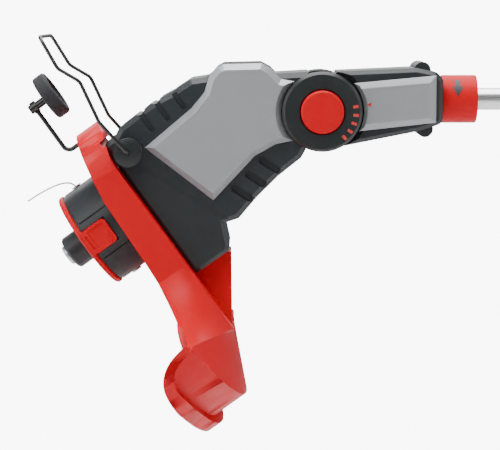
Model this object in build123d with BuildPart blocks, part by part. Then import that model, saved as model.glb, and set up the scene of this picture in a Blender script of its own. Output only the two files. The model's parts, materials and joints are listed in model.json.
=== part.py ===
from build123d import *
from math import cos, sin, radians
import os

# Grass trimmer with a tilting motor head, a telescopic tube and a rear handle. Millimetres.
# Origin: middle of the rear grip, on the tube's axis. +X runs back along the tube, +Z is up,
# -Y is the user's left, where the tilt button is.

os.makedirs("parts", exist_ok=True)

# ---- driving dimensions -------------------------------------------------------------------
tilt_x = -650.0          # tilt axis of the head, which runs along Y
tilt_z = -9.0
spindle_angle = 35.7     # how far the spindle points below -X
rim_x = -199.4           # spool cap's rim plane on the spindle, from the tilt axis
rim_z = -113.1
head_half = 39.0         # half width of the motor housing
cover_rise = 7.5         # how far a side cover stands out of the housing
neck_half = 32.0
neck_cover_rise = 4.0
ear_in = 26.0            # inner face of the head's hinge ears
ear_radius = 33.0
knuckle_half = 25.0      # half width of the neck's hinge knuckle
knuckle_radius = 31.5
ring_radius = 33.7
button_radius = 18.3
button_travel = 5.0
axle_radius = 7.0
running = 0.08           # radial clearance of a running fit
wall = 2.6
tube_radius = 9.5        # lower tube
tube_wall = 1.3
upper_radius = 12.5      # upper tube
upper_wall = 1.5
shaft_radius = 4.0
motor_radius = 29.0
drum_radius = 44.0
cap_radius = 44.7
bump_radius = 15.0
plate_top = 59.5         # guard's roof, along the spindle from the rim plane
guard_half = 50.0        # half width of the guard's front
skirt_radius = 187.0
lip_radius = 195.0
guard_wall = 2.6
fan_angle = 54.4         # half angle of the guard's rear skirt
boss_x = -163.8          # wire guard's pivot, from the tilt axis
boss_z = -34.1
wire_radius = 1.6
leg_y = 56.0
arm_radius = 2.0
arm_u = -73.0            # wheel arm's swivel, across the spindle
wheel_u = -121.0
wheel_w = 46.0
wheel_radius = 20.5

spindle = Plane(
    origin=(tilt_x + rim_x, 0, tilt_z + rim_z),
    x_dir=(sin(radians(spindle_angle)), 0, -cos(radians(spindle_angle))),
    z_dir=(cos(radians(spindle_angle)), 0, sin(radians(spindle_angle))),
)


def side(y=0.0):
    """Side view at y: local x is +X and local y is +Z from the tilt axis. Extrudes to -Y."""
    return Plane(origin=(tilt_x, y, tilt_z), x_dir=(1, 0, 0), z_dir=(0, -1, 0))


def on_spindle(u, w):
    """Side-view point, from the tilt axis, of a point u across and w up the spindle."""
    a = radians(spindle_angle)
    return (rim_x + u * sin(a) + w * cos(a), rim_z - u * cos(a) + w * sin(a))


def across_spindle(y=0.0):
    """Side view in the spindle's own directions: local x is u, local y is w."""
    return Plane(origin=spindle.origin + Vector(0, y, 0), x_dir=spindle.x_dir, z_dir=(0, -1, 0))


def save(piece, name):
    piece.part.label = name
    export_step(piece.part, f"parts/{name}.step")


# ---- screws -------------------------------------------------------------------------------
def screw(place, head_radius, head_height, shank_radius, length):
    """Pan-head screw on a plane: its shank runs down from it, its head stands on it."""
    with BuildPart(mode=Mode.PRIVATE) as one:
        with BuildSketch(Plane.XZ):
            with BuildLine():
                Polyline(
                    (0, -length),
                    (shank_radius, -length + shank_radius),
                    (shank_radius, 0),
                    (head_radius, 0),
                    (head_radius, head_height * 0.6),
                    (head_radius * 0.7, head_height),
                    (0, head_height),
                    close=True,
                )
            make_face()
        revolve(axis=Axis.Z)
    return place.location * one.part


# ---- motor housing ------------------------------------------------------------------------
housing_outline = [
    on_spindle(-62, 60),
    (-176, -22),
    (-171.7, -13.8),
    (-153.8, -0.1),
    (-140.1, 9.5),
    (-127.7, 16.3),
    (-111.2, 27.2),
    (-97.6, 29.2),
    (-88, 34.5),
    (-52, 35.5),
    (-38, 32),
    (-11, 33.5),
    (-6, 20),
    (-12, -25),
    (-13.8, -33),
    (-17.5, -39.5),
    (-37.2, -55.1),
    (-55.1, -73),
    (-70.3, -91),
    (-82.7, -95.2),
    (-78.3, -115.2),
    (-80, -119.5),
    on_spindle(74.7, 60),
]
rib_pitch = 16.4          # grooves across the housing's front and vents across its back
groove_heights = [102.5 + rib_pitch * i for i in range(3)]
groove_depth = 2.6
vent_places = [on_spindle(41.4 - 2.9 * i, 132.6 + rib_pitch * i) for i in range(3)]
vent_size = (21.0, 6.4)
vent_depth = 3.8
foot_step = 1.2           # how far the foot's side panels lie below the housing's sides
foot_panel = [on_spindle(-45, 69), on_spindle(52, 111), on_spindle(90, 111), on_spindle(90, 50), on_spindle(-45, 50)]

guard_screw_places = [(-38, -30), (-38, 30), (44, -30), (44, 30)]
housing_screw_places = [on_spindle(-50, 70), on_spindle(66, 79), on_spindle(-45, 168), on_spindle(38, 180)]
housing_screw_depth = 31.0

with BuildPart(mode=Mode.PRIVATE) as guard_screws:
    for u, y in guard_screw_places:
        place = Plane(spindle * Location((u, y, plate_top - guard_wall), (180, 0, 0)))
        add(screw(place, 3.6, 2.6, 1.7, 11))
save(guard_screws, "guard_screws")

with BuildPart(mode=Mode.PRIVATE) as housing_screws:
    for x, z in housing_screw_places:
        place = Plane(origin=(tilt_x + x, housing_screw_depth, tilt_z + z), z_dir=(0, 1, 0))
        add(screw(place, 3.4, 2.4, 1.6, 44))
save(housing_screws, "housing_screws")

with BuildPart() as housing_form:
    with BuildSketch(side(head_half)):
        with BuildLine():
            Polyline(*housing_outline, close=True)
        make_face()
    extrude(amount=2 * head_half)
    long_edges = edges().filter_by(Axis.Y)
    fillet(long_edges.filter_by(lambda e: e.center().X < tilt_x - 90), radius=6.5)
    rims = edges().group_by(Axis.Y)
    chamfer(rims[0] + rims[-1], length=4.5)
    # hinge ears outside the neck's knuckle
    for y in (-ear_in, head_half):
        with BuildSketch(side(y)):
            Circle(ear_radius)
        extrude(amount=head_half - ear_in)
    with BuildSketch(side(ear_in)):
        Circle(ear_radius + 0.6)
    extrude(amount=2 * ear_in, mode=Mode.SUBTRACT)
    # grooves between the front ribs
    for height in groove_heights:
        for y in (head_half, groove_depth - head_half):
            with BuildSketch(across_spindle(y)):
                with Locations((-61, height)):
                    SlotOverall(32, 5)
            extrude(amount=groove_depth, mode=Mode.SUBTRACT)
        with BuildSketch(across_spindle(head_half)):
            with Locations((-68.3, height)):
                Circle(5.5)
        extrude(amount=2 * head_half, mode=Mode.SUBTRACT)
    # stepped side panels of the foot
    for y in (head_half, foot_step - head_half):
        with BuildSketch(side(y)):
            with BuildLine():
                Polyline(*foot_panel, close=True)
            make_face()
        extrude(amount=foot_step, mode=Mode.SUBTRACT)
    # motor space, foot space and wire space
    with BuildSketch(across_spindle(head_half - 5)):
        with Locations((-5, 112)):
            Rectangle(99, 97)
        with Locations((-6, 170)):
            Rectangle(76, 24)
        with Locations((56, 75)):
            Rectangle(26, 23)
    extrude(amount=2 * head_half - 10, mode=Mode.SUBTRACT)
    # screw bosses inside
    for x, z in housing_screw_places:
        with BuildSketch(side(head_half - 3)):
            with Locations((x, z)):
                Circle(5)
        extrude(amount=2 * head_half - 6)
        with BuildSketch(side(head_half + 1)):
            with Locations((x, z)):
                Circle(3.9)
        extrude(amount=head_half + 1 - housing_screw_depth, mode=Mode.SUBTRACT)
    # lower bearing's seat, through the base
    with BuildSketch(spindle.offset(45)):
        Circle(15)
    extrude(amount=27)
    with BuildSketch(spindle.offset(40)):
        Circle(shaft_radius + 1.5)
    extrude(amount=40, mode=Mode.SUBTRACT)
    with BuildSketch(spindle.offset(62)):
        Circle(11)
    extrude(amount=20, mode=Mode.SUBTRACT)
    # walls that carry the motor can
    for low, high in ((86, 89.5), (146, 149.5)):
        with BuildSketch(spindle.offset(low)):
            with Locations((-5, 0)):
                Rectangle(102, 2 * head_half - 6)
            Circle(motor_radius, mode=Mode.SUBTRACT)
        extrude(amount=high - low)
    # air vents in both sides of the back
    for place in vent_places:
        for y in (head_half, vent_depth - head_half):
            with BuildSketch(side(y)):
                with Locations(place):
                    SlotOverall(*vent_size, rotation=-33)
            extrude(amount=vent_depth, mode=Mode.SUBTRACT)
    # tilt axle
    with BuildSketch(side(head_half + 1)):
        Circle(axle_radius)
    extrude(amount=2 * head_half + 2, mode=Mode.SUBTRACT)
    # tilt lock's toothed seat in the left ear, and the button's well outside it
    with BuildSketch(side(-ear_in)):
        Circle(16.5)
    extrude(amount=20, mode=Mode.SUBTRACT)
    with BuildSketch(side(button_travel - head_half + 0.6)):
        Circle(button_radius + 0.5)
    extrude(amount=20, mode=Mode.SUBTRACT)
    # bosses of the wire guard
    for y in (-head_half + 6, head_half + 5):
        with BuildSketch(side(y)):
            with Locations((boss_x, boss_z)):
                Circle(12)
        extrude(amount=11)
    with BuildSketch(side(head_half + 20)):
        with Locations((boss_x, boss_z)):
            Circle(4)
    extrude(amount=2 * head_half + 40, mode=Mode.SUBTRACT)
    add(guard_screws.part, mode=Mode.SUBTRACT)
    add(housing_screws.part, mode=Mode.SUBTRACT)


with BuildPart() as motor_housing_left:
    add(housing_form.part)
    split(bisect_by=Plane.XZ, keep=Keep.TOP)
save(motor_housing_left, "motor_housing_left")

with BuildPart() as motor_housing_right:
    add(housing_form.part)
    split(bisect_by=Plane.XZ, keep=Keep.BOTTOM)
save(motor_housing_right, "motor_housing_right")


# ---- side covers of the head --------------------------------------------------------------
cover_front = [
    (-18, 24.6),
    (-34.5, 27.5),
    (-43.2, 36.5),
    (-51.3, 40.8),
    (-83.4, 40),
    (-88.7, 37.3),
    (-95.4, 29.8),
    (-99.5, 16.4),
    (-110.3, 3),
    (-150, -30.5),
    (-92, -75.2),
    (-56.6, -37.3),
    (-39, -27.5),
    (-18, -23.2),
]
cover_gap = ring_radius + 0.8
with BuildPart() as cover_form:
    with BuildSketch(side(-head_half)):
        with BuildLine():
            Polyline(*cover_front, close=True)
        make_face()
        Circle(cover_gap, mode=Mode.SUBTRACT)
    extrude(amount=cover_rise)
    top = faces().sort_by(Axis.Y)[0]
    chamfer(top.edges(), length=5, length2=6.8, reference=top)
with BuildPart() as side_cover_left:
    add(cover_form.part)
save(side_cover_left, "side_cover_left")
with BuildPart() as side_cover_right:
    mirror(cover_form.part, about=Plane.XZ)
save(side_cover_right, "side_cover_right")

# ---- tilt joint ---------------------------------------------------------------------------
ring_out = head_half + 9.5
with BuildPart() as pivot_ring_left:
    with BuildSketch(side(-head_half)):
        Circle(ring_radius)
        Circle(button_radius + 0.5, mode=Mode.SUBTRACT)
    extrude(amount=ring_out - head_half)
    outer = edges().filter_by(GeomType.CIRCLE).group_by(Axis.Y)[0].sort_by(SortBy.RADIUS)
    chamfer(outer[-1], length=2.2)
    fillet(outer[0], radius=1)
save(pivot_ring_left, "pivot_ring_left")
with BuildPart() as pivot_ring_right:
    with BuildSketch(side(ring_out)):
        Circle(ring_radius)
        Circle(axle_radius + 3.5, mode=Mode.SUBTRACT)
    extrude(amount=ring_out - head_half)
    chamfer(edges().filter_by(GeomType.CIRCLE).group_by(Axis.Y)[-1].sort_by(SortBy.RADIUS)[-1], length=2.2)
    with BuildSketch(side(ring_out)):
        Circle(22)
        Circle(19, mode=Mode.SUBTRACT)
    extrude(amount=1.5, mode=Mode.SUBTRACT)
save(pivot_ring_right, "pivot_ring_right")

axle_head = ring_out - 3
with BuildPart() as tilt_axle:
    with BuildSketch(side(axle_head)):
        Circle(axle_radius)
    extrude(amount=axle_head + 22)
    with BuildSketch(side(axle_head)):
        Circle(axle_radius + 3)
    extrude(amount=axle_head - head_half)
    with BuildSketch(side(axle_head)):
        RegularPolygon(4, 6)
    extrude(amount=4, mode=Mode.SUBTRACT)
    with BuildSketch(side(-8)):
        Circle(4.5)
    extrude(amount=14, mode=Mode.SUBTRACT)
save(tilt_axle, "tilt_axle")

with BuildPart() as tilt_button:
    with BuildSketch(side(-head_half - 1)):
        Circle(button_radius)
    extrude(amount=12.5)
    chamfer(faces().sort_by(Axis.Y)[0].edges(), length=1.6)
    with BuildSketch(side(-head_half - 3)):
        Circle(button_radius - 2.5)
    extrude(amount=-2.5, mode=Mode.SUBTRACT)
    with BuildSketch(side(-ear_in - 3)):
        Circle(4)
    extrude(amount=14)
save(tilt_button, "tilt_button")

with BuildPart() as tilt_lock_gear:
    with BuildSketch(side(-ear_in - 2)):
        Circle(13.5)
        with PolarLocations(13.5, 20):
            Rectangle(4, 2.2)
        Circle(8.5, mode=Mode.SUBTRACT)
    extrude(amount=8)
    with BuildSketch(side(-ear_in - 7)):
        Circle(10)
        Circle(4, mode=Mode.SUBTRACT)
    extrude(amount=3)
save(tilt_lock_gear, "tilt_lock_gear")


def coil(place, radius, wire, turns, height):
    """Round coil spring, modelled with its true wire; its first end stands on the place."""
    with BuildPart(mode=Mode.PRIVATE) as one:
        with BuildLine():
            line = Helix(pitch=height / turns, height=height, radius=radius)
        with BuildSketch(Plane(line @ 0, z_dir=line % 0)):
            Circle(wire)
        sweep(path=line, is_frenet=True)
    return place.location * one.part


with BuildPart() as tilt_button_spring:
    add(coil(Plane(origin=(tilt_x, -9, tilt_z), z_dir=(0, -1, 0)), 3.4, 0.5, 7, 17))
save(tilt_button_spring, "tilt_button_spring")

# ---- wire plant guard ---------------------------------------------------------------------
with BuildPart() as wire_bushes:
    for y, turn in ((-head_half - 5, 1), (head_half + 5, -1)):
        with BuildSketch(side(y)):
            with Locations((boss_x, boss_z)):
                Circle(12)
                Circle(wire_radius + running, mode=Mode.SUBTRACT)
        extrude(amount=8 * turn)
        with BuildSketch(side(y)):
            with Locations((boss_x, boss_z)):
                Circle(3.9)
                Circle(wire_radius + running, mode=Mode.SUBTRACT)
        extrude(amount=-9 * turn)
save(wire_bushes, "wire_bushes")

wire_route = [(boss_x, boss_z), (-187.4, -7.7), (-203.1, 26), (-221.5, 36.8)]
wire_top = (-237, 63)
wire_points = (
    [(boss_x, -head_half + 1, boss_z)]
    + [(x, -leg_y, z) for x, z in wire_route]
    + [(wire_top[0], -leg_y + 6, wire_top[1]), (wire_top[0], leg_y - 6, wire_top[1])]
    + [(x, leg_y, z) for x, z in reversed(wire_route)]
    + [(boss_x, head_half - 1, boss_z)]
)
with BuildPart() as wire_guard:
    with BuildLine(Plane(origin=(tilt_x, 0, tilt_z))) as bend:
        FilletPolyline(*wire_points, radius=[3, 8, 10, 10, 8, 8, 10, 10, 8, 3])
    with BuildSketch(Plane(bend.line @ 0, z_dir=bend.line % 0)):
        Circle(wire_radius)
    sweep(path=bend.line)
save(wire_guard, "wire_guard")

# ---- edging wheel and its arm -------------------------------------------------------------
arm_w = 28.5
eye_half = 2.4
with BuildPart() as wheel_arm:
    with BuildLine(across_spindle()) as bend:
        FilletPolyline((arm_u, 56), (arm_u, arm_w), (wheel_u + 5, arm_w), radius=6)
    with BuildSketch(Plane(bend.line @ 0, z_dir=bend.line % 0)):
        Circle(arm_radius)
    sweep(path=bend.line)
    with BuildSketch(spindle.offset(arm_w - eye_half)):
        with Locations((wheel_u, 0)):
            Circle(5.5)
    extrude(amount=2 * eye_half)
    with BuildSketch(spindle.offset(arm_w - 10)):
        with Locations((wheel_u, 0)):
            Circle(2)
    extrude(amount=20, mode=Mode.SUBTRACT)
save(wheel_arm, "wheel_arm")

wheel_low = wheel_w - 6
with BuildPart() as wheel_axle:
    with BuildSketch(spindle.offset(arm_w - eye_half - 2.5)):
        with Locations((wheel_u, 0)):
            Circle(4)
    extrude(amount=2.5)
    with BuildSketch(spindle.offset(arm_w - eye_half - 2.5)):
        with Locations((wheel_u, 0)):
            Circle(2)
    extrude(amount=wheel_w + 4.4 - arm_w + eye_half + 2.5)
    with BuildSketch(spindle.offset(arm_w + eye_half)):
        with Locations((wheel_u, 0)):
            Circle(3.6)
    extrude(amount=wheel_low - 0.3 - arm_w - eye_half)
    with BuildSketch(spindle.offset(wheel_w + 3.2)):
        with Locations((wheel_u, 0)):
            Circle(3.4)
    extrude(amount=1.2)
save(wheel_axle, "wheel_axle")

with BuildPart() as wheel_hub:
    with BuildSketch(spindle.offset(wheel_low)):
        with Locations((wheel_u, 0)):
            Circle(6)
            Circle(2 + running, mode=Mode.SUBTRACT)
    extrude(amount=9)
    with BuildSketch(spindle.offset(wheel_low + 1)):
        with Locations((wheel_u, 0)):
            Circle(14)
            Circle(11.5, mode=Mode.SUBTRACT)
            with PolarLocations(8.5, 5):
                Rectangle(8, 3.2)
            Circle(5, mode=Mode.SUBTRACT)
    extrude(amount=9)
    with BuildSketch(spindle.offset(wheel_low + 1)):
        with Locations((wheel_u, 0)):
            Circle(12)
            Circle(5, mode=Mode.SUBTRACT)
    extrude(amount=1.6)
save(wheel_hub, "wheel_hub")

with BuildPart() as wheel_tyre:
    with BuildSketch(spindle.offset(wheel_low)):
        with Locations((wheel_u, 0)):
            Circle(wheel_radius)
            Circle(14, mode=Mode.SUBTRACT)
    extrude(amount=12)
    fillet(edges().filter_by(GeomType.CIRCLE).group_by(SortBy.RADIUS)[-1], radius=2.6)
save(wheel_tyre, "wheel_tyre")

# ---- guard --------------------------------------------------------------------------------
roof_back = 130.0         # where the flat roof ends, across the spindle
brim_w = 33.0             # height of the roof's outer edge above the rim plane
corner_u = skirt_radius * cos(radians(fan_angle))
corner_y = skirt_radius * sin(radians(fan_angle))


def guard_section(inset, brim):
    """Closed outline of the guard: its narrow front at the roof, or its fan at the brim."""
    half = guard_half - inset
    nose = -80 + inset
    if brim:
        back = skirt_radius - inset
        waist = (62, half)
        bend = (88 - inset * 0.4, 82 - inset)
        tip = (corner_u - inset * 0.2, (back ** 2 - (corner_u - inset * 0.2) ** 2) ** 0.5)
        middle = (back, 0)
    else:
        waist = (62, half)
        bend = (96, half)
        tip = (roof_back - inset, half)
        middle = (roof_back - inset + 0.5, 0)
    with BuildSketch(mode=Mode.PRIVATE) as outline:
        with BuildLine():
            ThreePointArc((-38, -half), (nose, 0), (-38, half))
            Line((-38, half), waist)
            ThreePointArc(waist, bend if brim else (bend[0], half + 0.3), tip)
            ThreePointArc(tip, middle, (tip[0], -tip[1]))
            ThreePointArc((tip[0], -tip[1]), (bend[0], -bend[1]) if brim else (bend[0], -half - 0.3), (waist[0], -half))
            Line((waist[0], -half), (-38, -half))
        make_face()
    return outline.sketch


def guard_block(inset, top):
    """The guard's outer form, or with an inset the hollow inside it."""
    with BuildPart(mode=Mode.PRIVATE) as block:
        with BuildSketch(Plane.XY.offset(top)):
            add(guard_section(inset, False))
        with BuildSketch(Plane.XY.offset(brim_w - inset)):
            add(guard_section(inset, True))
        loft(ruled=True)
        with BuildSketch(Plane.XY.offset(brim_w - inset)):
            add(guard_section(inset, True))
        extrude(amount=-50)
    return spindle.location * block.part


hem = [(-90, 45), (-60, 40), (-20, 34), (40, 32), (70, 30), (112, 28), (112, -30), (-90, -30)]
cutter_angle = 24.0       # line cutter's place behind the skirt
ledge_w = 2.0             # where the rear skirt steps out to its lip
rim_bottom = -11.0
rim_top = 65.5            # raised rim round the nose
web_half = 20.0


# front edges of the rear skirt and of its lip, from the roof's corner down to the bottom
skirt_front = [(112, brim_w), (114.5, 20), (119, 11), (127, 4.6), (140, ledge_w)]
ledge_front = [(109.4, brim_w), (111.9, 19), (117, 9.4), (125.6, 2.4), (139.5, ledge_w - guard_wall)]
lip_front = [(104.5, brim_w), (105.7, 26.7), (107.5, 17.8), (111.5, 8.5), (121.6, -2.4), (135, -8), (152, rim_bottom)]


def skirt_side(front, bottom):
    """Side outline of the skirt behind a front edge, across the whole guard."""
    with BuildPart(mode=Mode.PRIVATE) as block:
        with BuildSketch(across_spindle(200)):
            with BuildLine():
                Spline(*front)
                Polyline((front[-1][0], bottom), (210, bottom), (210, brim_w), (front[0][0], brim_w))
            make_face()
        extrude(amount=400)
    return block.part


def skirt_ring(outer, inner):
    """Ring about the spindle from the lip's bottom to the roof."""
    with BuildPart(mode=Mode.PRIVATE) as ring:
        with BuildSketch(Plane.XY.offset(rim_bottom)):
            Circle(outer)
            Circle(inner, mode=Mode.SUBTRACT)
        extrude(amount=brim_w - 0.5 - rim_bottom)
    return spindle.location * ring.part


with BuildPart() as guard:
    add(guard_block(0, plate_top))
    # raised rim round the nose
    with BuildSketch(spindle.offset(plate_top - 2)):
        add(guard_section(0, False))
        with Locations((18, 0)):
            Rectangle(164, 2 * head_half + 5, mode=Mode.SUBTRACT)
        with Locations((52, 0)):
            Rectangle(200, 120, mode=Mode.SUBTRACT)
    extrude(amount=rim_top - plate_top + 2)
    with BuildSketch(across_spindle(200)):
        with BuildLine():
            Polyline((-72, rim_top + 1), (-47, plate_top), (-40, plate_top), (-40, rim_top + 1), close=True)
        make_face()
    extrude(amount=400, mode=Mode.SUBTRACT)
    add(guard_block(guard_wall, plate_top - guard_wall), mode=Mode.SUBTRACT)
    with BuildSketch(across_spindle(200)):
        with BuildLine():
            Polyline(*hem, close=True)
        make_face()
        with BuildLine():
            Polyline((104, 31), (104, -30), (200, -30), (200, 31), close=True)
        make_face()
    extrude(amount=400, mode=Mode.SUBTRACT)
    # rear skirt and its lip
    inside = skirt_side(skirt_front, ledge_w)
    ledge = skirt_side(ledge_front, ledge_w - guard_wall)
    whole = skirt_side(lip_front, rim_bottom)
    add(skirt_ring(skirt_radius, skirt_radius - guard_wall) & inside)
    add((skirt_ring(lip_radius, skirt_radius - guard_wall) & ledge) - inside)
    add((skirt_ring(lip_radius, lip_radius - guard_wall) & whole) - inside)
    # web behind the housing's foot
    with BuildSketch(across_spindle(web_half)):
        with BuildLine():
            Polyline((75.6, plate_top - 1), (75.6, 92), (78.5, 94), (129, plate_top - 1), close=True)
        make_face()
    extrude(amount=2 * web_half)
    with BuildSketch(across_spindle(web_half - guard_wall)):
        with BuildLine():
            Polyline((79, plate_top - 4), (79, 88), (121, plate_top), (121, plate_top - 4), close=True)
        make_face()
    extrude(amount=2 * web_half - 2 * guard_wall, mode=Mode.SUBTRACT)
    # wheel arm's boss, the bearing's opening and the screws
    with BuildSketch(spindle.offset(46)):
        with Locations((arm_u, 0)):
            Circle(5)
    extrude(amount=plate_top - 47)
    with BuildSketch(spindle.offset(40)):
        with Locations((arm_u, 0)):
            Circle(arm_radius + running)
        Circle(15.6)
    extrude(amount=16.6, mode=Mode.SUBTRACT)
    with BuildSketch(spindle.offset(50)):
        Circle(15.6)
    extrude(amount=15, mode=Mode.SUBTRACT)
    add(guard_screws.part, mode=Mode.SUBTRACT)
    # block that carries the line cutter
    with BuildSketch(spindle.offset(-6)):
        with Locations(Rotation(0, 0, cutter_angle)):
            with Locations((178, 0)):
                Rectangle(14, 9)
    extrude(amount=24)
save(guard, "guard")

with BuildPart() as line_cutter_blade:
    with BuildSketch(spindle.offset(-4)):
        with Locations(Rotation(0, 0, cutter_angle)):
            with Locations((167, 5.3)):
                Rectangle(32, 1.6)
    extrude(amount=16)
save(line_cutter_blade, "line_cutter_blade")


# ---- motor, on the spindle ----------------------------------------------------------------
def ring_stack(*layers):
    """Rings about the spindle, joined: each is (low, high, outer radius, inner radius)."""
    with BuildPart(mode=Mode.PRIVATE) as stack:
        for low, high, outer, inner in layers:
            with BuildSketch(Plane.XY.offset(low)):
                Circle(outer)
                if inner:
                    Circle(inner, mode=Mode.SUBTRACT)
            extrude(amount=high - low)
    return spindle.location * stack.part


shaft_bottom = 16.0
bore = shaft_radius + running
with BuildPart() as motor_can:
    add(ring_stack((86, 152, motor_radius - 0.1, motor_radius - 2), (86, 88, motor_radius - 0.1, 12)))
    with BuildSketch(spindle.offset(112)):
        with PolarLocations(motor_radius, 8, start_angle=22.5):
            Rectangle(6, 5)
    extrude(amount=22, mode=Mode.SUBTRACT)
save(motor_can, "motor_can")

with BuildPart() as field_magnets:
    with BuildSketch(spindle.offset(92)):
        Circle(motor_radius - 2)
        Circle(22.6, mode=Mode.SUBTRACT)
        Rectangle(12, 80, mode=Mode.SUBTRACT)
    extrude(amount=46)
save(field_magnets, "field_magnets")

with BuildPart() as brush_plate:
    add(ring_stack((152, 155, motor_radius - 0.1, 11.1), (155, 162, 14, 11.1), (160, 162, 14, shaft_radius + 1)))
    with BuildSketch(spindle.offset(155)):
        with PolarLocations(20, 2):
            Rectangle(10, 8)
    extrude(amount=5)
save(brush_plate, "brush_plate")

with BuildPart() as motor_bearings:
    for low in (63.0, 152.5):
        add(ring_stack((low, low + 7, 11, 8.5), (low, low + 7, 6, bore), (low + 1, low + 6, 8.5, 6)))
save(motor_bearings, "motor_bearings")

with BuildPart() as motor_shaft:
    add(ring_stack((shaft_bottom, 160, shaft_radius, 0)))
    chamfer(edges().filter_by(GeomType.CIRCLE), length=0.8)
save(motor_shaft, "motor_shaft")

with BuildPart() as armature:
    with BuildSketch(spindle.offset(96)):
        Circle(21.8)
        with PolarLocations(21.8, 12):
            Rectangle(9, 2, mode=Mode.SUBTRACT)
        Circle(shaft_radius, mode=Mode.SUBTRACT)
    extrude(amount=38)
    add(ring_stack((90, 96, 18, shaft_radius), (134, 140, 18, shaft_radius), (140, 151, 11, shaft_radius)))
save(armature, "armature")

with BuildPart() as cooling_fan:
    add(ring_stack((73, 83, 7.5, shaft_radius), (73, 74.6, 27, shaft_radius)))
    with BuildSketch(spindle.offset(74)):
        with PolarLocations(17, 11):
            Rectangle(19, 1.3, rotation=14)
    extrude(amount=8.5)
save(cooling_fan, "cooling_fan")

# ---- spool head ---------------------------------------------------------------------------
drum_top = 37.0
drum_wall = 2.2
tab_width = 23.0
tab_top = 25.0
eyelet_w = 17.2
eyelet_radius = 3.2
with BuildPart() as spool_drum:
    add(ring_stack(
        (2.6, drum_top, drum_radius - 1.2, drum_radius - 1.2 - drum_wall),
        (drum_top - 2.4, drum_top, drum_radius, shaft_radius),
        (drum_top - 9, drum_top, 9, shaft_radius),
    ))
    # raised panels beside each latch window
    with BuildSketch(spindle.offset(4.5)):
        Circle(drum_radius)
        Circle(drum_radius - 2, mode=Mode.SUBTRACT)
        Rectangle(tab_width + 14, 100, mode=Mode.SUBTRACT)
    extrude(amount=drum_top - 4.5)
    # latch windows and line holes
    with BuildSketch(spindle.offset(2)):
        Rectangle(tab_width + 0.8, 100)
    extrude(amount=tab_top - 1.4, mode=Mode.SUBTRACT)
    with BuildSketch(Plane(origin=spindle.origin, x_dir=(0, -1, 0), z_dir=-spindle.x_dir)):
        with Locations((0, eyelet_w)):
            Circle(eyelet_radius)
    extrude(amount=60, both=True, mode=Mode.SUBTRACT)
save(spool_drum, "spool_drum")

with BuildPart() as line_eyelets:
    for way in (1, -1):
        outward = Plane(origin=spindle.origin, x_dir=(0, -way, 0), z_dir=-way * spindle.x_dir)
        with BuildSketch(outward.offset(40)):
            with Locations((0, eyelet_w)):
                Circle(eyelet_radius)
                Circle(1.6, mode=Mode.SUBTRACT)
        extrude(amount=5)
        with BuildSketch(outward.offset(44.2)):
            with Locations((0, eyelet_w)):
                Circle(eyelet_radius + 1.2)
                Circle(1.6, mode=Mode.SUBTRACT)
        extrude(amount=1.2)
save(line_eyelets, "line_eyelets")

with BuildPart() as spool_cap:
    add(ring_stack((-2.4, 2.4, cap_radius, bump_radius + 0.4)))
    chamfer(edges().filter_by(GeomType.CIRCLE).sort_by(SortBy.RADIUS)[-2:], length=1.1)
    # latch tabs in the drum's windows
    for way in (1, -1):
        with BuildSketch(Plane(origin=spindle.origin, x_dir=spindle.x_dir, z_dir=(0, -way, 0)).offset(drum_radius - 5)):
            with Locations((0, way * tab_top / 2)):
                RectangleRounded(tab_width, tab_top, 3.5)
        extrude(amount=6)
        with BuildSketch(Plane(origin=spindle.origin, x_dir=spindle.x_dir, z_dir=(0, -way, 0)).offset(drum_radius)):
            with Locations((0, way * (tab_top + 4) / 2)):
                RectangleRounded(tab_width - 5, tab_top - 9, 2)
            with Locations((0, way * 3.6)):
                Rectangle(13, 1.8)
        extrude(amount=2, mode=Mode.SUBTRACT)
    with BuildSketch(spindle.offset(2.4)):
        Circle(drum_radius - 4.2)
    extrude(amount=40, mode=Mode.SUBTRACT)
save(spool_cap, "spool_cap")

with BuildPart() as line_spool:
    add(ring_stack(
        (5.2, 6.8, 37, 19.4), (27, 28.6, 37, 19.4), (5.2, 28.6, 21, 19.4), (26.4, 27.8, 21, 9.6),
    ))
save(line_spool, "line_spool")

with BuildPart() as wound_line:
    with BuildSketch(across_spindle()):
        with BuildLine():
            Polyline((21, 7.4), (21, 26.4), (33.2, 26.4), (34, 25.6), (34, 8.2), (33.2, 7.4), close=True)
        make_face()
    revolve(axis=Axis(spindle.origin, spindle.z_dir))
save(wound_line, "wound_line")

with BuildPart() as bump_knob:
    add(ring_stack((-22, 5, bump_radius, 9.2), (-17, -14, 12, 0), (2.8, 4.6, 18.6, 9.2)))
    chamfer(edges().filter_by(GeomType.CIRCLE).group_by(Axis(spindle.origin, spindle.z_dir))[0]
            .sort_by(SortBy.RADIUS)[-1], length=2)
save(bump_knob, "bump_knob")

with BuildPart() as bump_insert:
    add(ring_stack((-25.5, -17, 9.1, 0)))
    fillet(edges().filter_by(GeomType.CIRCLE).group_by(Axis(spindle.origin, spindle.z_dir))[0], radius=1.8)
save(bump_insert, "bump_insert")

with BuildPart() as bump_spring:
    add(coil(spindle.offset(-12.6), 6.6, 0.7, 9, 39))
save(bump_spring, "bump_spring")

# the cutting line's free end, as straight runs joined by arcs
line_radius = 0.8
line_points = [
    (-41.5, 0, 17.2),
    (-48.5, -0.4, 16.6),
    (-53.4, -2.2, 10.6),
    (-56, -5, 3),
    (-57.6, -9, -5.5),
    (-58.6, -14.5, -13.8),
    (-59, -21, -21.5),
]


def easy_radii(points, share=0.45):
    """Corner radii as large as the shorter run at each corner allows."""
    radii = []
    for before, at, after in zip(points, points[1:], points[2:]):
        first = Vector(*at) - Vector(*before)
        second = Vector(*after) - Vector(*at)
        turn = radians(first.get_angle(second))
        radii.append(share * min(first.length, second.length) * cos(turn / 2) / sin(turn / 2))
    return radii


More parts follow.
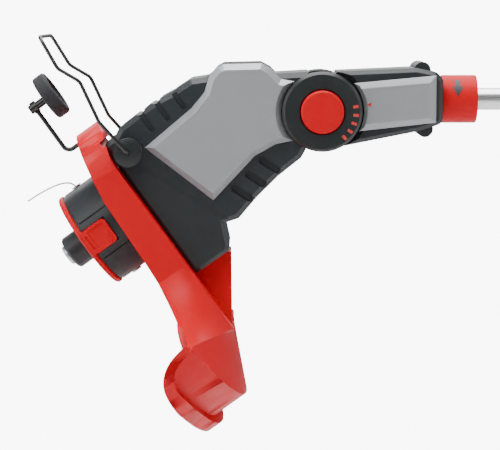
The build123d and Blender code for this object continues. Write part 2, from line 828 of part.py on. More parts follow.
line_radii = easy_radii(line_points)
print("cutting line radii", [round(r, 1) for r in line_radii])
with BuildPart() as cutting_line:
    with BuildLine(spindle) as run:
        FilletPolyline(*line_points, radius=line_radii)
    with BuildSketch(Plane(run.line @ 0, z_dir=run.line % 0)):
        Circle(line_radius)
    sweep(path=run.line)
print("cutting line length", round(sum(edge.length for edge in run.edges()), 1))
save(cutting_line, "cutting_line")

# ---- neck ---------------------------------------------------------------------------------
tube_z = -tilt_z          # tube's axis, above the tilt axis
neck_end = 103.0          # back of the neck, behind the tilt axis
neck_outline = [
    (-5, 20),
    (4, 33.1),
    (80.6, 36.5),
    (98, 32.8),
    (neck_end, 27),
    (neck_end, -10.5),
    (84, -16.9),
    (4, -32.8),
    (-5, -20),
]
boss_places = [(85.7, 34.5), (88, -15.5)]
neck_screw_places = [(60, 27), (58, -13), boss_places[0], boss_places[1]]


def along_tube(x, z=0.0):
    """Plane square to the tube at x behind the tilt axis; local x is +Y, local y is +Z."""
    return Plane(origin=(tilt_x + x, 0, z), x_dir=(0, 1, 0), z_dir=(1, 0, 0))


def sleeve(*layers):
    """Rings about the tube's axis, joined: each is (front, back, outer radius, inner radius)."""
    with BuildPart(mode=Mode.PRIVATE) as stack:
        for front, back, outer, inner in layers:
            with BuildSketch(along_tube(front)):
                Circle(outer)
                if inner:
                    Circle(inner, mode=Mode.SUBTRACT)
            extrude(amount=back - front)
    return stack.part


with BuildPart(mode=Mode.PRIVATE) as neck_screws:
    for x, z in neck_screw_places:
        place = Plane(origin=(tilt_x + x, 22, tilt_z + z), z_dir=(0, 1, 0))
        add(screw(place, 3, 2.2, 1.5, 34))
save(neck_screws, "neck_screws")

with BuildPart() as neck_form:
    # body behind the hinge
    with BuildSketch(side(neck_half)):
        with BuildLine():
            Polyline(*neck_outline, close=True)
        make_face()
        Circle(ring_radius + 1.8, mode=Mode.SUBTRACT)
    extrude(amount=2 * neck_half)
    ends = edges().filter_by(Axis.Y).filter_by(lambda e: e.center().X > tilt_x + 90)
    fillet(ends, radius=6)
    rims = faces().sort_by(Axis.Y)
    chamfer(rims[0].edges() + rims[-1].edges(), length=3.5)
    # knuckle between the head's ears
    with BuildSketch(side(knuckle_half)):
        Circle(knuckle_radius)
        with BuildLine():
            Polyline((0, 24), (14, 33), (45, 33), (45, -23), (26, -27.5), (0, -24), close=True)
        make_face()
    extrude(amount=2 * knuckle_half)
    # bosses across the back
    for x, z in boss_places:
        with BuildSketch(side(neck_half - 5)):
            with Locations((x, z)):
                Circle(7)
        extrude(amount=2 * neck_half - 10)
    # hollow for the wires, round the tube's socket
    with BuildSketch(side(neck_half - 3)):
        with BuildLine():
            Polyline((40, 30), (79, 32.5), (79, -12), (40, -20), close=True)
        make_face()
    extrude(amount=2 * neck_half - 6, mode=Mode.SUBTRACT)
    add(sleeve((36, 82, 13.5, 0)))
    for x, z in neck_screw_places[:2]:
        with BuildSketch(side(neck_half - 2)):
            with Locations((x, z)):
                Circle(4.6)
        extrude(amount=2 * neck_half - 4)
    for x, z in neck_screw_places:
        with BuildSketch(side(neck_half + 1)):
            with Locations((x, z)):
                Circle(3.4)
        extrude(amount=neck_half + 1 - 22, mode=Mode.SUBTRACT)
    # collet sleeve behind the body and the tube's bore
    add(sleeve((neck_end - 3, 119, 13.8, 0)))
    add(sleeve((38, 130, tube_radius + running, 0)), mode=Mode.SUBTRACT)
    # axle, lock pocket and hollow of the knuckle
    with BuildSketch(side(60)):
        Circle(axle_radius + running)
    extrude(amount=120, mode=Mode.SUBTRACT)
    with BuildSketch(side(-12)):
        Circle(17)
    extrude(amount=30, mode=Mode.SUBTRACT)
    with BuildSketch(side(knuckle_half - 3)):
        Circle(27)
        Circle(11, mode=Mode.SUBTRACT)
    extrude(amount=knuckle_half + 7, mode=Mode.SUBTRACT)
    add(neck_screws.part, mode=Mode.SUBTRACT)

with BuildPart() as neck_left:
    add(neck_form.part)
    split(bisect_by=Plane.XZ, keep=Keep.TOP)
save(neck_left, "neck_left")
with BuildPart() as neck_right:
    add(neck_form.part)
    split(bisect_by=Plane.XZ, keep=Keep.BOTTOM)
save(neck_right, "neck_right")

neck_cover_outline = [(20, 23), (97, 30.2), (97, -9.8), (20, -18.3)]
with BuildPart() as neck_cover_left:
    with BuildSketch(side(-neck_half)):
        with BuildLine():
            Polyline(*neck_cover_outline, close=True)
        make_face()
        Circle(ring_radius + 2.2, mode=Mode.SUBTRACT)
    extrude(amount=neck_cover_rise)
    top = faces().sort_by(Axis.Y)[0]
    chamfer(top.edges(), length=3)
save(neck_cover_left, "neck_cover_left")
with BuildPart() as neck_cover_right:
    mirror(neck_cover_left.part, about=Plane.XZ)
save(neck_cover_right, "neck_cover_right")

# ---- collars, collets and tubes -----------------------------------------------------------
collar_back = 134.0
collar_radius = 20.7
with BuildPart() as lower_collar:
    add(sleeve((neck_end + 0.5, collar_back, collar_radius, 14.2)))
    add(sleeve((collar_back - 3, collar_back, collar_radius, tube_radius + 0.4)))
    fillet(edges().filter_by(GeomType.CIRCLE).group_by(Axis.X)[-1].sort_by(SortBy.RADIUS)[-1], radius=1.5)
    fillet(edges().filter_by(GeomType.CIRCLE).group_by(Axis.X)[0].sort_by(SortBy.RADIUS)[-1], radius=1.2)
save(lower_collar, "lower_collar")

with BuildPart() as lower_collet:
    add(sleeve((119, 130.4, 13.6, tube_radius + running)))
    with BuildSketch(along_tube(118)):
        with PolarLocations(12, 3):
            Rectangle(8, 1.4)
    extrude(amount=14, mode=Mode.SUBTRACT)
    add(sleeve((119, 121, 13.6, tube_radius + running)))
save(lower_collet, "lower_collet")

lower_back = 500.0
upper_front = 262.0
upper_back = 570.0
with BuildPart() as lower_tube:
    add(sleeve((40, lower_back, tube_radius, tube_radius - tube_wall)))
save(lower_tube, "lower_tube")

with BuildPart() as upper_tube:
    add(sleeve((upper_front, upper_back, upper_radius, upper_radius - upper_wall)))
save(upper_tube, "upper_tube")

with BuildPart() as tube_bush:
    add(sleeve((upper_front - 1.5, upper_front + 28, upper_radius - upper_wall, tube_radius + running)))
    add(sleeve((upper_front - 6, upper_front, upper_radius + 3, tube_radius + running)))
    add(sleeve((upper_front - 6, upper_front + 26, upper_radius + 3, upper_radius)))
save(tube_bush, "tube_bush")

with BuildPart() as upper_collar:
    add(sleeve((upper_front - 9, upper_front + 24, 21.5, 15.7), (upper_front - 9, upper_front - 6.3, 21.5, tube_radius + 0.4)))
    with BuildSketch(along_tube(upper_front - 10)):
        with PolarLocations(21.5, 20):
            Circle(1.3)
    extrude(amount=40, mode=Mode.SUBTRACT)
save(upper_collar, "upper_collar")

# ---- rear handle --------------------------------------------------------------------------
handle_half = 17.0
handle_outline = [
    (-128, 17), (-80, 24), (-52, 19), (50, 19), (82, 25), (106, 21), (115, 6), (112, -30),
    (98, -66), (80, -74), (-60, -74), (-84, -62), (-102, -24), (-128, -17),
]
finger_gap = [(-74, -17), (74, -17), (79, -30), (69, -58), (-58, -58), (-77, -40)]
handle_screw_places = [(-90, -44), (90, -46), (0, -66), (101, 15)]
trigger_outline = [(-64, -6), (-56, -6), (-22, -8), (-18, -14), (-20, -24), (-40, -27), (-58, -24), (-65, -14)]
trigger_x = -60.0
trigger_z = -10.0
lock_x = -50.0


def handle_side(y=0.0):
    """Side view at y with the grip's centre as origin. Extrudes to -Y."""
    return Plane(origin=(0, y, 0), x_dir=(1, 0, 0), z_dir=(0, -1, 0))


def handle_box(low_x, high_x, low_z, high_z, half):
    """Plain block across the handle, for hollows and shelves."""
    with BuildPart(mode=Mode.PRIVATE) as block:
        with BuildSketch(handle_side(half)):
            with Locations(((low_x + high_x) / 2, (low_z + high_z) / 2)):
                Rectangle(high_x - low_x, high_z - low_z)
        extrude(amount=2 * half)
    return block.part


with BuildPart(mode=Mode.PRIVATE) as handle_screws:
    for x, z in handle_screw_places:
        add(screw(Plane(origin=(x, 11, z), z_dir=(0, 1, 0)), 3.2, 2.4, 1.6, 22))
save(handle_screws, "handle_screws")

with BuildSketch(handle_side(handle_half)) as finger_loop:
    with BuildLine():
        Polyline(*finger_gap, close=True)
    make_face()
    fillet(vertices(), radius=5)

with BuildPart() as handle_form:
    with BuildSketch(handle_side(handle_half)):
        with BuildLine():
            Polyline(*handle_outline, close=True)
        make_face()
        fillet(vertices().filter_by(lambda v: v.X > -120), radius=8)
        add(finger_loop.sketch, mode=Mode.SUBTRACT)
    extrude(amount=2 * handle_half)
    rims = faces().sort_by(Axis.Y)
    chamfer(rims[0].edges() + rims[-1].edges(), length=4.5)
    add(handle_box(-74, 97, -12.5, 14.5, 13), mode=Mode.SUBTRACT)
    add(handle_box(-66, -12, -30, -10, 6.8), mode=Mode.SUBTRACT)
    add(handle_box(-62, -39, 4, 6, 14))
    with BuildSketch(handle_side(15)):
        with Locations((trigger_x, trigger_z)):
            Circle(5)
    extrude(amount=30)
    add(handle_box(-66, -50, -17, -3, 6.8), mode=Mode.SUBTRACT)
    with BuildSketch(Plane.XY.offset(10)):
        with Locations((lock_x, 0)):
            Circle(6.3)
    extrude(amount=20, mode=Mode.SUBTRACT)
    add(sleeve((-tilt_x - 130, -tilt_x - 78, upper_radius, 0)), mode=Mode.SUBTRACT)
    add(sleeve((-tilt_x + 95, -tilt_x + 120, 8, 0)), mode=Mode.SUBTRACT)
    with BuildSketch(handle_side(12)):
        with Locations((trigger_x, trigger_z)):
            Circle(2 + running)
    extrude(amount=24, mode=Mode.SUBTRACT)
    for x, z in handle_screw_places:
        with BuildSketch(handle_side(handle_half + 1)):
            with Locations((x, z)):
                Circle(3.6)
        extrude(amount=handle_half + 1 - 11, mode=Mode.SUBTRACT)
    add(handle_screws.part, mode=Mode.SUBTRACT)

with BuildPart() as handle_left:
    add(handle_form.part)
    split(bisect_by=Plane.XZ, keep=Keep.TOP)
save(handle_left, "handle_left")
with BuildPart() as handle_right:
    add(handle_form.part)
    split(bisect_by=Plane.XZ, keep=Keep.BOTTOM)
save(handle_right, "handle_right")

with BuildPart() as trigger:
    with BuildSketch(handle_side(6)):
        with BuildLine():
            Polyline(*trigger_outline, close=True)
        make_face()
        fillet(vertices(), radius=2)
    extrude(amount=12)
    fillet(edges().group_by(Axis.Z)[0], radius=1.5)
    # stub axles
    with BuildSketch(handle_side(11.5)):
        with Locations((trigger_x, trigger_z)):
            Circle(2)
    extrude(amount=23)
save(trigger, "trigger")

with BuildPart() as trigger_spring:
    add(coil(Plane(origin=(-46, 0, -4.6), z_dir=(0, 0, 1)), 2.6, 0.4, 5, 8))
save(trigger_spring, "trigger_spring")

with BuildPart() as lock_button:
    with BuildSketch(Plane.XY.offset(11)):
        with Locations((lock_x, 0)):
            Circle(6)
    extrude(amount=12.5)
    fillet(faces().sort_by(Axis.Z)[-1].edges(), radius=1.5)
    with BuildSketch(Plane.XY.offset(11)):
        with Locations((lock_x, 0)):
            Circle(8)
    extrude(amount=2.5)
save(lock_button, "lock_button")

with BuildPart() as lock_spring:
    add(coil(Plane(origin=(lock_x, 0, 6.6), z_dir=(0, 0, 1)), 4, 0.4, 3, 3.8))
save(lock_spring, "lock_spring")

with BuildPart() as power_switch:
    add(handle_box(-36, -8, 0, 13, 9))
    chamfer(edges().filter_by(Axis.Y), length=1)
    add(handle_box(-9, -3, 3, 4, 2.5))
    add(handle_box(-9, -3, 8, 9, 2.5))
save(power_switch, "power_switch")

gland_radius = 3.6
with BuildPart() as power_gland:
    add(sleeve((-tilt_x + 95, -tilt_x + 118, 8, gland_radius), (-tilt_x + 118, -tilt_x + 128, 7, gland_radius)))
    chamfer(edges().filter_by(GeomType.CIRCLE).group_by(Axis.X)[-1].sort_by(SortBy.RADIUS)[-1], length=2)
save(power_gland, "power_gland")

# ---- front grip on the upper tube ---------------------------------------------------------
clamp_x = -250.0
bolt_z = 34.0
bolt_radius = 4.0
with BuildPart() as grip_clamp:
    add(sleeve((clamp_x - tilt_x - 13, clamp_x - tilt_x + 13, 18.5, upper_radius)))
    with BuildSketch(handle_side(9)):
        with Locations((clamp_x, 29)):
            Rectangle(20, 28)
    extrude(amount=18)
    add(sleeve((clamp_x - tilt_x - 13, clamp_x - tilt_x + 13, upper_radius, 0)), mode=Mode.SUBTRACT)
    with BuildSketch(handle_side(12)):
        with Locations((clamp_x, bolt_z)):
            Circle(bolt_radius)
    extrude(amount=24, mode=Mode.SUBTRACT)
save(grip_clamp, "grip_clamp")

with BuildPart() as clamp_bolt:
    with BuildSketch(handle_side(17.4)):
        with Locations((clamp_x, bolt_z)):
            Circle(bolt_radius)
    extrude(amount=47)
    with BuildSketch(handle_side(22.5)):
        with Locations((clamp_x, bolt_z)):
            RegularPolygon(8, 6)
    extrude(amount=5.1)
save(clamp_bolt, "clamp_bolt")

hoop_points = [(-10, 60), (-62, 70), (-60, 150), (60, 150), (62, 70), (10, 60)]
with BuildPart() as front_grip:
    with BuildLine(Plane(origin=(clamp_x, 0, 0), x_dir=(0, 1, 0), z_dir=(1, 0, 0))) as hoop:
        FilletPolyline(*hoop_points, radius=24)
    with BuildSketch(Plane(hoop.line @ 0, z_dir=hoop.line % 0)):
        Circle(9.5)
    sweep(path=hoop.line)
    with BuildSketch(handle_side(17)):
        with Locations((clamp_x, 44)):
            Rectangle(19, 36)
        with Locations((clamp_x, bolt_z)):
            Circle(9.5)
    extrude(amount=34)
    with BuildSketch(handle_side(9.5)):
        with Locations((clamp_x, 34.5)):
            Rectangle(30, 27)
    extrude(amount=19, mode=Mode.SUBTRACT)
    with BuildSketch(handle_side(20)):
        with Locations((clamp_x, bolt_z)):
            Circle(bolt_radius + running)
    extrude(amount=40, mode=Mode.SUBTRACT)
save(front_grip, "front_grip")

with BuildPart() as clamp_knob:
    with BuildSketch(handle_side(-17.4)):
        with Locations((clamp_x, bolt_z)):
            Circle(15)
            with PolarLocations(17, 6):
                Circle(4.5, mode=Mode.SUBTRACT)
    extrude(amount=17)
    fillet(faces().sort_by(Axis.Y)[0].edges(), radius=1.5)
    with BuildSketch(handle_side(-17)):
        with Locations((clamp_x, bolt_z)):
            Circle(bolt_radius + running)
    extrude(amount=13.5, mode=Mode.SUBTRACT)
save(clamp_knob, "clamp_knob")
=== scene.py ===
import json
import math
import bpy
from mathutils import Matrix, Vector


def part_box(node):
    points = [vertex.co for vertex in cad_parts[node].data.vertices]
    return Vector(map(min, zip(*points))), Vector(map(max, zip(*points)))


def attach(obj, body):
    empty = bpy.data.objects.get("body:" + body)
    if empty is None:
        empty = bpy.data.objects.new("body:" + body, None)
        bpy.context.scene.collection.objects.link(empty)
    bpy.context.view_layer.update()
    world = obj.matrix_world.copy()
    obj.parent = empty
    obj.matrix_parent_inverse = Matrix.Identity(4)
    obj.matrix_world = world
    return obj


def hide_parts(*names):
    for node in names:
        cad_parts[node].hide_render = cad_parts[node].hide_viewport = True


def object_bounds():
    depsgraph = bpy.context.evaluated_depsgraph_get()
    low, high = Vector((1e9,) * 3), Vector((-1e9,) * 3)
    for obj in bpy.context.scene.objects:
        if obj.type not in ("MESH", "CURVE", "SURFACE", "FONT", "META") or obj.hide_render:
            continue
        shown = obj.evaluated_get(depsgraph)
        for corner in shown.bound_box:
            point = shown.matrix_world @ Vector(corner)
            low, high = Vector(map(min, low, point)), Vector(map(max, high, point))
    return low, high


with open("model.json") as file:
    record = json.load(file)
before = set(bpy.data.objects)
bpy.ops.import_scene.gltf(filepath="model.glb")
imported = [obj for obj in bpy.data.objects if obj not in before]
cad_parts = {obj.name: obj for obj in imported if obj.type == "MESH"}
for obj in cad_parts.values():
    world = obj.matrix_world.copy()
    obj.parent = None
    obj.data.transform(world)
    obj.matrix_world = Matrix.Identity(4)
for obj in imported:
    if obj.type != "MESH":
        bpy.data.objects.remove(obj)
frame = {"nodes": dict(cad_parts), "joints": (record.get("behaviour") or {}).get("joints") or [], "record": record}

bl_info = {
    "name": "Grass Trimmer",
    "version": (1, 0, 0),
    "blender": (4, 5, 0),
    "location": "3D View > Sidebar > Trimmer",
    "description": "Finishes and fine shapes for a grass trimmer built round its CAD frame",
    "category": "Object",
}

NODES = frame["nodes"]
RECORD = frame["record"]
BODY_OF = {n: body for body, names in RECORD["behaviour"]["bodies"].items() for n in names}
SLOT_OF = {entry["node"]: entry["material_slot"] for entry in RECORD["subparts"]}
JOINTS = {joint["name"]: joint for joint in frame["joints"]}
CAD_LOW, CAD_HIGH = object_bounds()
MM = 0.001

TILT = Vector(JOINTS["head_tilt"]["pos_m"])
SPINDLE = Vector(JOINTS["spool_spin"]["axis"]).normalized()
ACROSS = Vector((0, 1, 0)).cross(SPINDLE).normalized()
RIM = Vector(JOINTS["spool_spin"]["pos_m"]) - SPINDLE * 20 * MM
SPINDLE_FRAME = Matrix((
    (ACROSS.x, 0, SPINDLE.x, RIM.x),
    (ACROSS.y, 1, SPINDLE.y, RIM.y),
    (ACROSS.z, 0, SPINDLE.z, RIM.z),
    (0, 0, 0, 1),
))


# ---- settings -----------------------------------------------------------------------------
def colour(name, text, value):
    return bpy.props.FloatVectorProperty(
        name=name, description=text, default=value, size=3, subtype="COLOR", min=0, max=1)


def length(name, text, value):
    return bpy.props.FloatProperty(
        name=name, description=text, default=value, unit="LENGTH", min=0)


class TrimmerColours(bpy.types.PropertyGroup):
    """Colours of the trimmer's finishes."""
    housing: colour("Housing", "Moulded motor housing, neck and handle", (0.022, 0.027, 0.029))
    silver: colour("Side covers", "Satin silver paint of the side covers", (0.375, 0.385, 0.40))
    red: colour("Red", "Guard, spool cap, tilt button and collars", (0.63, 0.002, 0.008))
    black: colour("Black", "Pivot rings and small black mouldings", (0.012, 0.016, 0.016))
    wire: colour("Wire", "Coated wire of the plant guard and the wheel arm", (0.008, 0.008, 0.009))
    tube: colour("Tube", "Anodised tube", (0.88, 0.88, 0.90))
    rubber: colour("Rubber", "Wheel tyre and cable gland", (0.018, 0.018, 0.020))
    line: colour("Line", "Clear white cutting line", (0.86, 0.86, 0.82))


class TrimmerSizes(bpy.types.PropertyGroup):
    """Sizes of the fine shapes."""
    edge: length("Edge rounding", "Radius given to moulded edges", 0.0006)
    fine_edge: length("Fine edge rounding", "Radius given to machined edges", 0.0003)
    mark_radius: length("Mark radius", "Distance of the angle marks from the tilt axis", 0.0284)
    floor_drop: length("Floor drop", "How far the floor lies below the trimmer", 0.35)


def colours():
    return bpy.context.scene.trimmer_colours


def sizes():
    return bpy.context.scene.trimmer_sizes


# ---- shader expressions -------------------------------------------------------------------
class Term:
    """A number inside a material's node tree. Python's operators add Math nodes."""

    def __init__(self, finish, socket):
        self.finish = finish
        self.socket = socket

    def _with(self, operation, other):
        return self.finish.node("ShaderNodeMath", {"operation": operation}, {0: self, 1: other})

    def __add__(self, other):
        return self._with("ADD", other)

    __radd__ = __add__

    def __mul__(self, other):
        return self._with("MULTIPLY", other)

    __rmul__ = __mul__

    def __pow__(self, other):
        return self._with("POWER", other)


class Finish:
    """A material under construction, on one Principled shader."""

    def __init__(self, name, **fixed):
        self.material = bpy.data.materials.new(name)
        self.material.use_nodes = True
        self.tree = self.material.node_tree
        self.tree.nodes.clear()
        self.shader = self.tree.nodes.new("ShaderNodeBsdfPrincipled")
        output = self.tree.nodes.new("ShaderNodeOutputMaterial")
        self.tree.links.new(self.shader.outputs[0], output.inputs["Surface"])
        self.set(**fixed)

    def put(self, socket, value):
        if isinstance(value, Term):
            self.tree.links.new(value.socket, socket)
        elif hasattr(socket.default_value, "__len__") and len(socket.default_value) == 4:
            socket.default_value = (*value, 1) if len(value) == 3 else value
        else:
            socket.default_value = value

    def node(self, kind, settings, sockets, output=0):
        """Adds a node: its settings first, then the values or links of its sockets."""
        made = self.tree.nodes.new(kind)
        for key, value in settings.items():
            setattr(made, key, value)
        for key, value in sockets.items():
            self.put(made.inputs[key], value)
        return Term(self, made.outputs[output])

    def place(self, scale=(1, 1, 1), turn=(0, 0, 0)):
        """Object coordinates, stretched and turned."""
        here = self.node("ShaderNodeTexCoord", {}, {}, "Object")
        sockets = {"Vector": here, "Scale": scale, "Rotation": turn}
        return self.node("ShaderNodeMapping", {}, sockets)

    def noise(self, scale, detail, roughness=0.5, place=None):
        sockets = {"Vector": place or self.place(), "Scale": scale}
        sockets.update({"Detail": detail, "Roughness": roughness})
        return self.node("ShaderNodeTexNoise", {}, sockets, "Fac")

    def blend(self, factor, first, second):
        colour_sockets = {0: factor, 6: first, 7: second}
        return self.node("ShaderNodeMix", {"data_type": "RGBA"}, colour_sockets, 2)

    def bump(self, height, distance):
        sockets = {"Height": height, "Distance": distance, "Strength": 1.0}
        return self.node("ShaderNodeBump", {}, sockets, "Normal")

    def glow(self, tint, level):
        """The surface is paler where it is seen directly, and lights nothing."""
        shine = self.tree.nodes.new("ShaderNodeEmission")
        shine.inputs["Color"].default_value = (*tint, 1)
        shine.inputs["Strength"].default_value = level
        seen = self.tree.nodes.new("ShaderNodeLightPath")
        either = self.tree.nodes.new("ShaderNodeMixShader")
        end = self.tree.nodes["Material Output"].inputs["Surface"]
        links = (
            (seen.outputs["Is Camera Ray"], either.inputs[0]),
            (self.shader.outputs[0], either.inputs[1]),
            (shine.outputs[0], either.inputs[2]),
            (either.outputs[0], end),
        )
        for here, there in links:
            self.tree.links.new(here, there)

    def set(self, **sockets):
        for key, value in sockets.items():
            label = key.replace("_", " ").title().replace("Ior", "IOR")
            self.put(self.shader.inputs[label], value)


def shade(base, factor):
    return tuple(min(1.0, channel * factor) for channel in base)


def moulded(name, base, rough, grain, depth, coat=0.0, mottle=0.10, specular=0.5):
    """Injection-moulded plastic: fine spark-eroded grain, faint cloudiness, handling scuffs."""
    finish = Finish(name, specular_ior_level=specular)
    cloud = finish.noise(14, 4)
    grains = finish.noise(grain, 2, 0.6)
    scuff = finish.noise(90, 6, 0.7, finish.place((1, 1, 0.25))) ** 4
    tone = finish.blend(cloud, shade(base, 1 - mottle), shade(base, 1 + mottle))
    finish.set(
        base_color=finish.blend(scuff * 0.5, tone, shade(base, 1.35)),
        roughness=cloud * 0.10 + scuff * 0.35 + (rough - 0.07),
        normal=finish.bump(grains, depth),
    )
    if coat:
        finish.set(coat_weight=coat)
        finish.shader.inputs["Coat Roughness"].default_value = 0.12
    return finish.material


def painted_silver(name, base):
    """Satin metallic paint on plastic, with fine flake and light wear."""
    finish = Finish(name, metallic=0.45)
    flake = finish.noise(2600, 1, 0.5)
    cloud = finish.noise(9, 3)
    wear = finish.noise(140, 8, 0.75) ** 5
    tone = finish.blend(flake, shade(base, 0.86), shade(base, 1.16))
    finish.set(
        base_color=finish.blend(wear * 0.6, tone, shade(base, 1.3)),
        roughness=flake * 0.10 + cloud * 0.06 + 0.34,
        normal=finish.bump(flake, 0.00001),
        coat_weight=0.15,
    )
    return finish.material


def metal(name, base, rough, streak=(1, 1, 1), scale=400.0, depth=0.00001):
    """Bare or anodised metal with its drawing or turning marks."""
    finish = Finish(name, metallic=1.0)
    marks = finish.noise(scale, 4, 0.6, finish.place(streak))
    stain = finish.noise(25, 3)
    finish.set(
        base_color=finish.blend(marks, shade(base, 0.85), shade(base, 1.1)),
        roughness=marks * 0.16 + stain * 0.06 + (rough - 0.10),
        normal=finish.bump(marks, depth),
    )
    return finish.material


def rubber(name, base):
    """Matt rubber with fine pores and a dusty bloom."""
    finish = Finish(name, specular_ior_level=0.35)
    pores = finish.noise(1500, 3, 0.6)
    bloom = finish.noise(60, 5, 0.7)
    finish.set(
        base_color=finish.blend(bloom, base, shade(base, 1.9)),
        roughness=bloom * 0.12 + 0.62,
        normal=finish.bump(pores, 0.00005),
    )
    return finish.material


def nylon_line(name, base):
    """Translucent white nylon monofilament."""
    finish = Finish(name, roughness=0.3, specular_ior_level=0.5)
    finish.shader.inputs["Subsurface Weight"].default_value = 0.2
    finish.shader.inputs["Subsurface Scale"].default_value = 0.001
    cloud = finish.noise(300, 2)
    finish.set(base_color=finish.blend(cloud, shade(base, 0.92), base))
    return finish.material


STACK_TURN = -54.3


def laminated(name, base):
    """Stacked iron sheets, seen on their edges along the spindle."""
    finish = Finish(name, metallic=0.9)
    stack = finish.place((1, 1, 1), (0, math.radians(STACK_TURN), 0))
    sockets = {"Vector": stack, "Scale": 320.0, "Distortion": 0.2}
    along = finish.node(
        "ShaderNodeTexWave", {"wave_type": "BANDS", "bands_direction": "Z"}, sockets, "Fac")
    finish.set(
        base_color=finish.blend(along, shade(base, 0.6), shade(base, 1.2)),
        roughness=along * 0.1 + 0.4,
        normal=finish.bump(along, 0.00006),
    )
    return finish.material


FINISHES = {}


def make_finishes():
    """One finish for each of the record's material slots, and a few for the fine shapes."""
    tint = colours()
    FINISHES.update({
        "housing_grey": moulded(
            "charcoal_nylon", tint.housing, 0.38, 1100, 0.00004, mottle=0.16, specular=0.4),
        "silver_cover": painted_silver("satin_silver", tint.silver),
        "red_plastic": moulded(
            "red_moulding", tint.red, 0.42, 700, 0.00002, mottle=0.05, specular=0.16),
        "black_plastic": moulded(
            "black_moulding", tint.black, 0.38, 900, 0.00004, coat=0.10, mottle=0.2),
        "black_wire": moulded(
            "coated_wire", tint.wire, 0.30, 1400, 0.00002, coat=0.5, mottle=0.2),
        "steel": metal("bright_steel", (0.62, 0.62, 0.63), 0.30),
        "aluminium_tube": metal("anodised_tube", tint.tube, 0.26, (0.02, 1, 1), 1800),
        "rubber": rubber("tyre_rubber", tint.rubber),
        "iron_core": laminated("laminated_iron", (0.25, 0.25, 0.26)),
        "magnet": moulded("ferrite", (0.03, 0.03, 0.033), 0.6, 1800, 0.00005),
        "copper_brass": metal("brass", (0.72, 0.48, 0.16), 0.3),
        "white_line": nylon_line("nylon_line", tint.line),
        "mark_red": moulded("mark_red", (0.62, 0.035, 0.03), 0.45, 900, 0.00001),
        "arrow_grey": moulded("arrow_grey", (0.045, 0.045, 0.048), 0.45, 900, 0.00001),
    })


# ---- mesh helpers -------------------------------------------------------------------------
WELD = 0.01 * MM
SAME_PLANE = 0.05 * MM
LARGE_FACE = 200 * MM * MM


def deselect():
    if bpy.context.object and bpy.context.object.mode != "OBJECT":
        bpy.ops.object.mode_set(mode="OBJECT")
    bpy.ops.object.select_all(action="DESELECT")


def pick(piece):
    deselect()
    piece.select_set(True)
    bpy.context.view_layer.objects.active = piece


def round_edges(piece, width, segments, corner=30):
    """Rounds every edge sharper than the corner angle, in degrees."""
    bevel = piece.modifiers.new("round", "BEVEL")
    bevel.width = width
    bevel.segments = segments
    bevel.limit_method = "ANGLE"
    bevel.angle_limit = math.radians(corner)
    bpy.ops.object.modifier_apply(modifier="round")


def coat(piece, name):
    piece.data.materials.clear()
    piece.data.materials.append(FINISHES[name])


def rounded(node, width, segments=2, corner=30, merge=0.3, even=True, narrow=None):
    """A copy of a CAD node with its sharp edges rounded, which stands for that node."""
    piece = bpy.data.objects.new(node + "_moulding", NODES[node].data.copy())
    bpy.context.scene.collection.objects.link(piece)
    coat(piece, SLOT_OF[node])
    pick(piece)
    bpy.ops.object.mode_set(mode="EDIT")
    bpy.ops.mesh.select_all(action="SELECT")
    bpy.ops.mesh.remove_doubles(threshold=WELD)
    bpy.ops.mesh.dissolve_limited(angle_limit=math.radians(merge))
    bpy.ops.object.mode_set(mode="OBJECT")
    if narrow:
        narrow_front(piece, narrow)
    round_edges(piece, width, segments, corner)
    bpy.ops.object.shade_smooth_by_angle(angle=math.radians(30))
    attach(piece, BODY_OF[node])
    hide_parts(node)
    if even:
        piece.modifiers.new("even", "WEIGHTED_NORMAL").keep_sharp = True
        bpy.ops.object.modifier_apply(modifier="even")
    deselect()


def plain(*names):
    """CAD nodes whose shape is right keep it and take their slot's finish."""
    for name in names:
        coat(NODES[name], SLOT_OF[name])


def settle(piece, name, body, finish, width=0.0):
    """Brings a new piece's place into its mesh, rounds its edges and lets it ride a body."""
    piece.name = name
    pick(piece)
    bpy.ops.object.transform_apply(location=True, rotation=True, scale=True)
    if width:
        round_edges(piece, width, 2)
    bpy.ops.object.shade_smooth_by_angle(angle=math.radians(35))
    coat(piece, finish)
    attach(piece, body)
    deselect()
    return piece


def bar(name, centre, size, turn, body, finish, width=0.0):
    """A small bar in the side view: long along its own x, tilted by turn about Y."""
    deselect()
    bpy.ops.mesh.primitive_cube_add(size=1, location=centre, rotation=(0, -turn, 0))
    piece = bpy.context.object
    piece.scale = size
    return settle(piece, name, body, finish, width)


def arrowhead(name, centre, radius, depth, turn, body, finish):
    """A small raised triangle in the side view, pointing along turn about Y."""
    deselect()
    bpy.ops.mesh.primitive_cylinder_add(
        vertices=3, radius=radius, depth=depth, location=centre,
        rotation=(math.pi / 2, math.pi / 2 - turn, 0))
    return settle(bpy.context.object, name, body, finish)


def wrap(piece, centre, radius):
    """Keeps only the thin layer of a piece that lies on a round collar along x."""
    for reach, action in ((0.12 * MM, "INTERSECT"), (-0.4 * MM, "DIFFERENCE")):
        deselect()
        bpy.ops.mesh.primitive_cylinder_add(
            vertices=128, radius=radius + reach, depth=60 * MM, location=centre,
            rotation=(0, math.pi / 2, 0))
        drum = bpy.context.object
        pick(piece)
        cut = piece.modifiers.new("wrap", "BOOLEAN")
        cut.operation = action
        cut.object = drum
        bpy.ops.object.modifier_apply(modifier="wrap")
        bpy.data.objects.remove(drum)
    deselect()


def select_faces(piece, choose):
    """In edit mode, selects just the faces whose centre and normal the test accepts."""
    bpy.ops.object.mode_set(mode="EDIT")
    bpy.ops.mesh.select_mode(type="FACE")
    bpy.ops.mesh.select_all(action="DESELECT")
    bpy.ops.object.mode_set(mode="OBJECT")
    for face in piece.data.polygons:
        face.select = choose(face.center, face.normal)
    bpy.ops.object.mode_set(mode="EDIT")


